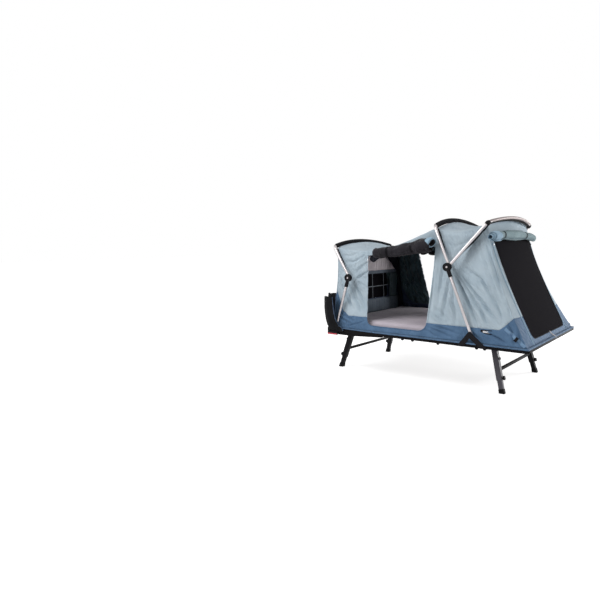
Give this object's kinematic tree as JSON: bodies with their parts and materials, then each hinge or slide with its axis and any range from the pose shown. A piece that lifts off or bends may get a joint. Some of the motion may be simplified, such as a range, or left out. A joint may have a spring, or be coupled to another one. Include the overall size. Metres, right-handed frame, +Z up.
{
  "type": "hitch tent",
  "caption": "Tent on a legged sleeping platform carried by a vehicle's hitch bar, with folding hoops and struts, rolled side doors, mesh windows, a mattress and telescopic legs.",
  "frame": {"origin": "On the ground, under the middle of the tent's overall box, from the tip of the hitch bar to the foot end rail.", "axes": "+X points from the vehicle to the foot end, +Z is up, and -Y is the near side, whose door the picture shows."},
  "size_m": [2.23, 1.584, 1.5595],
  "materials": {
    "black_steel": "satin black powder coat",
    "black_plastic": "matt black moulding",
    "black_rubber": "matt black rubber",
    "grey_leg": "satin dark grey tube",
    "silver_tube": "bright silver tube",
    "zinc_steel": "bright plated steel",
    "board": "dark sheet board",
    "light_fabric": "light blue-grey coated cloth",
    "dark_fabric": "slate blue coated cloth",
    "black_mesh": "black insect mesh",
    "dark_roll": "dark lining cloth, rolled",
    "mattress_cloth": "pale grey mattress cover",
    "webbing": "light blue webbing",
    "cover_cloth": "black coated cover cloth"
  },
  "bodies": {
    "platform": {"near_side_rail": "black_steel", "far_side_rail": "black_steel", "foot_end_rail": "black_steel", "hitch_end_rail": "black_steel", "foot_leg_beam": "black_steel", "hitch_leg_beam": "black_steel", "bed_board": "board", "mattress": "mattress_cloth", "hitch_cradle": "black_steel", "stinger": "black_steel", "near_marker_lamp": "black_plastic", "far_marker_lamp": "black_plastic", "travel_cover": "cover_cloth", "near_a_bracket": "black_plastic", "far_a_bracket": "black_plastic", "near_corner_bracket": "black_plastic", "far_corner_bracket": "black_plastic", "canopy": "light_fabric", "tub_skirt": "dark_fabric", "foot_mesh_panel": "black_mesh", "hitch_mesh_panel": "black_mesh", "near_door_roll": "dark_roll", "far_door_roll": "dark_roll", "foot_door_roll": "light_fabric", "near_corner_strap": "webbing", "far_corner_strap": "webbing"},
    "hitch_pin": {"hitch_pin": "zinc_steel"},
    "foot_legs": {"foot_near_leg_sleeve": "grey_leg", "foot_far_leg_sleeve": "grey_leg", "foot_cross_bar": "black_steel"},
    "foot_near_inner_leg": {"foot_near_inner_leg": "grey_leg", "foot_near_foot_cap": "black_rubber"},
    "foot_near_clamp_knob": {"foot_near_clamp_knob": "black_plastic"},
    "foot_far_inner_leg": {"foot_far_inner_leg": "grey_leg", "foot_far_foot_cap": "black_rubber"},
    "foot_far_clamp_knob": {"foot_far_clamp_knob": "black_plastic"},
    "hitch_legs": {"hitch_near_leg_sleeve": "grey_leg", "hitch_far_leg_sleeve": "grey_leg", "hitch_cross_bar": "black_steel"},
    "hitch_near_inner_leg": {"hitch_near_inner_leg": "grey_leg", "hitch_near_foot_cap": "black_rubber"},
    "hitch_near_clamp_knob": {"hitch_near_clamp_knob": "black_plastic"},
    "hitch_far_inner_leg": {"hitch_far_inner_leg": "grey_leg", "hitch_far_foot_cap": "black_rubber"},
    "hitch_far_clamp_knob": {"hitch_far_clamp_knob": "black_plastic"},
    "foot_struts": {"foot_near_strut": "silver_tube", "foot_far_strut": "silver_tube", "foot_near_hub": "black_plastic", "foot_far_hub": "black_plastic"},
    "hitch_struts": {"hitch_near_strut": "silver_tube", "hitch_far_strut": "silver_tube", "hitch_near_hub": "black_plastic", "hitch_far_hub": "black_plastic"},
    "middle_hoop": {"middle_hoop": "silver_tube"},
    "foot_hoop": {"foot_hoop": "silver_tube"},
    "hitch_hoop": {"hitch_hoop": "silver_tube"},
    "foot_near_hub_button": {"foot_near_hub_button": "silver_tube"},
    "foot_far_hub_button": {"foot_far_hub_button": "silver_tube"},
    "hitch_near_hub_button": {"hitch_near_hub_button": "silver_tube"},
    "hitch_far_hub_button": {"hitch_far_hub_button": "silver_tube"}
  },
  "joints": [
    {"name": "foot_legs_fold", "type": "hinge", "parent": "platform", "child": "foot_legs", "pos_m": [0.73, 0, 0.4], "axis": [0, 1, 0], "range_deg": [0, 100]},
    {"name": "foot_near_leg_slide", "type": "slide", "parent": "foot_legs", "child": "foot_near_inner_leg", "axis": [0.248, -0.1365, -0.9591], "range_m": [-0.06, 0.1]},
    {"name": "foot_near_knob_turn", "type": "hinge", "parent": "foot_legs", "child": "foot_near_clamp_knob", "pos_m": [0.82394, -0.47736, 0.13255], "axis": [0.9688, 0.0349, 0.2456], "range_deg": [0, 720]},
    {"name": "foot_far_leg_slide", "type": "slide", "parent": "foot_legs", "child": "foot_far_inner_leg", "axis": [0.248, 0.1365, -0.9591], "range_m": [-0.06, 0.1]},
    {"name": "foot_far_knob_turn", "type": "hinge", "parent": "foot_legs", "child": "foot_far_clamp_knob", "pos_m": [0.82394, 0.47736, 0.13255], "axis": [0.9688, -0.0349, 0.2456], "range_deg": [0, 720]},
    {"name": "hitch_legs_fold", "type": "hinge", "parent": "platform", "child": "hitch_legs", "pos_m": [-0.771, 0, 0.4], "axis": [0, -1, 0], "range_deg": [0, 100]},
    {"name": "hitch_near_leg_slide", "type": "slide", "parent": "hitch_legs", "child": "hitch_near_inner_leg", "axis": [-0.248, -0.1365, -0.9591], "range_m": [-0.06, 0.1]},
    {"name": "hitch_near_knob_turn", "type": "hinge", "parent": "hitch_legs", "child": "hitch_near_clamp_knob", "pos_m": [-0.86494, -0.47736, 0.13255], "axis": [-0.9688, 0.0349, 0.2456], "range_deg": [0, 720]},
    {"name": "hitch_far_leg_slide", "type": "slide", "parent": "hitch_legs", "child": "hitch_far_inner_leg", "axis": [-0.248, 0.1365, -0.9591], "range_m": [-0.06, 0.1]},
    {"name": "hitch_far_knob_turn", "type": "hinge", "parent": "hitch_legs", "child": "hitch_far_clamp_knob", "pos_m": [-0.86494, 0.47736, 0.13255], "axis": [-0.9688, -0.0349, 0.2456], "range_deg": [0, 720]},
    {"name": "frame_fold", "type": "hinge", "parent": "platform", "child": "foot_struts", "pos_m": [0.632, 0, 0.55], "axis": [0, -1, 0], "range_deg": [0, 55.6], "deforming": ["canopy", "tub_skirt", "foot_mesh_panel", "hitch_mesh_panel", "near_door_roll", "far_door_roll", "foot_door_roll", "near_corner_strap", "far_corner_strap"]},
    {"name": "hitch_struts_fold", "type": "hinge", "parent": "platform", "child": "hitch_struts", "pos_m": [-0.753, 0, 0.518], "axis": [0, 1, 0], "range_deg": [0, 66.6]},
    {"name": "middle_hoop_fold", "type": "hinge", "parent": "foot_struts", "child": "middle_hoop", "pos_m": [0.37959, 0, 1.10643], "axis": [0, 1, 0], "range_deg": [0, 160.6]},
    {"name": "foot_hoop_fold", "type": "hinge", "parent": "foot_struts", "child": "foot_hoop", "pos_m": [0.37959, 0, 1.10643], "axis": [0, 1, 0], "range_deg": [0, 102.4]},
    {"name": "hitch_hoop_fold", "type": "hinge", "parent": "hitch_struts", "child": "hitch_hoop", "pos_m": [-0.66029, 0, 0.97367], "axis": [0, -1, 0], "range_deg": [0, 110.8]},
    {"name": "foot_near_hub_button_press", "type": "slide", "parent": "foot_struts", "child": "foot_near_hub_button", "axis": [0, 1, 0], "range_m": [0, 0.0025], "stiffness_N_per_m": 800, "springref_m": -0.002},
    {"name": "foot_far_hub_button_press", "type": "slide", "parent": "foot_struts", "child": "foot_far_hub_button", "axis": [0, -1, 0], "range_m": [0, 0.0025], "stiffness_N_per_m": 800, "springref_m": -0.002},
    {"name": "hitch_near_hub_button_press", "type": "slide", "parent": "hitch_struts", "child": "hitch_near_hub_button", "axis": [0, 1, 0], "range_m": [0, 0.0025], "stiffness_N_per_m": 800, "springref_m": -0.002},
    {"name": "hitch_far_hub_button_press", "type": "slide", "parent": "hitch_struts", "child": "hitch_far_hub_button", "axis": [0, -1, 0], "range_m": [0, 0.0025], "stiffness_N_per_m": 800, "springref_m": -0.002},
    {"name": "hitch_pin_pull", "type": "slide", "parent": "platform", "child": "hitch_pin", "axis": [0, -1, 0], "range_m": [0, 0.12]}
  ],
  "couplings": [
    {"joint": "hitch_struts_fold", "follows": "frame_fold", "ratio": 1.196},
    {"joint": "middle_hoop_fold", "follows": "frame_fold", "ratio": 2.887},
    {"joint": "foot_hoop_fold", "follows": "frame_fold", "ratio": 1.84},
    {"joint": "hitch_hoop_fold", "follows": "frame_fold", "ratio": 1.991}
  ]
}
